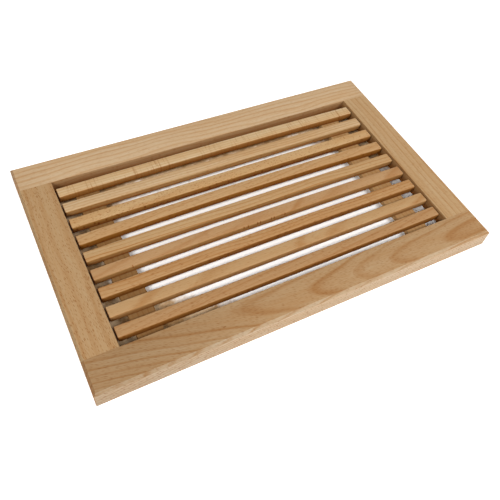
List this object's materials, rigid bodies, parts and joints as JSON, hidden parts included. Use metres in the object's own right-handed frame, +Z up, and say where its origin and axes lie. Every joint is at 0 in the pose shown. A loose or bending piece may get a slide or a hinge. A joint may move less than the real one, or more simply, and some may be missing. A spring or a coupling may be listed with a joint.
{
  "type": "bread board with crumb catcher",
  "caption": "Flat rectangular beech bread board with a lift-out slatted grid over a shallow tray that catches the crumbs.",
  "frame": {"origin": "middle of the board's underside, in the plane that the board rests on", "axes": "+Z up out of the slatted face, X along the two long rails with +X to the right, +Y towards the back rail"},
  "size_m": [0.395, 0.25, 0.02],
  "materials": {
    "frame_beech": "planed and sanded beech, lightly oiled",
    "dowel_beech": "turned beech dowel, glued in",
    "slat_beech": "planed and sanded beech, lightly oiled",
    "bar_beech": "planed beech",
    "white_hardboard": "white lacquered face, brown hardboard back",
    "pin_steel": "plain drawn steel"
  },
  "bodies": {
    "frame": {"back_rail": "frame_beech", "front_rail": "frame_beech", "left_stile": "frame_beech", "right_stile": "frame_beech", "crumb_panel": "white_hardboard", "dowel_back_left_1": "dowel_beech", "dowel_back_left_2": "dowel_beech", "dowel_back_right_1": "dowel_beech", "dowel_back_right_2": "dowel_beech", "dowel_front_left_1": "dowel_beech", "dowel_front_left_2": "dowel_beech", "dowel_front_right_1": "dowel_beech", "dowel_front_right_2": "dowel_beech"},
    "grid": {"slat_1": "slat_beech", "slat_2": "slat_beech", "slat_3": "slat_beech", "slat_4": "slat_beech", "slat_5": "slat_beech", "slat_6": "slat_beech", "slat_7": "slat_beech", "slat_8": "slat_beech", "slat_9": "slat_beech", "cross_bar_left": "bar_beech", "cross_bar_right": "bar_beech", "pin_left_1": "pin_steel", "pin_left_2": "pin_steel", "pin_left_3": "pin_steel", "pin_left_4": "pin_steel", "pin_left_5": "pin_steel", "pin_left_6": "pin_steel", "pin_left_7": "pin_steel", "pin_left_8": "pin_steel", "pin_left_9": "pin_steel", "pin_right_1": "pin_steel", "pin_right_2": "pin_steel", "pin_right_3": "pin_steel", "pin_right_4": "pin_steel", "pin_right_5": "pin_steel", "pin_right_6": "pin_steel", "pin_right_7": "pin_steel", "pin_right_8": "pin_steel", "pin_right_9": "pin_steel"}
  },
  "joints": [
    {"name": "grid_lift", "type": "slide", "parent": "frame", "child": "grid", "axis": [0, 0, 1], "range_m": [0, 0.04]}
  ]
}
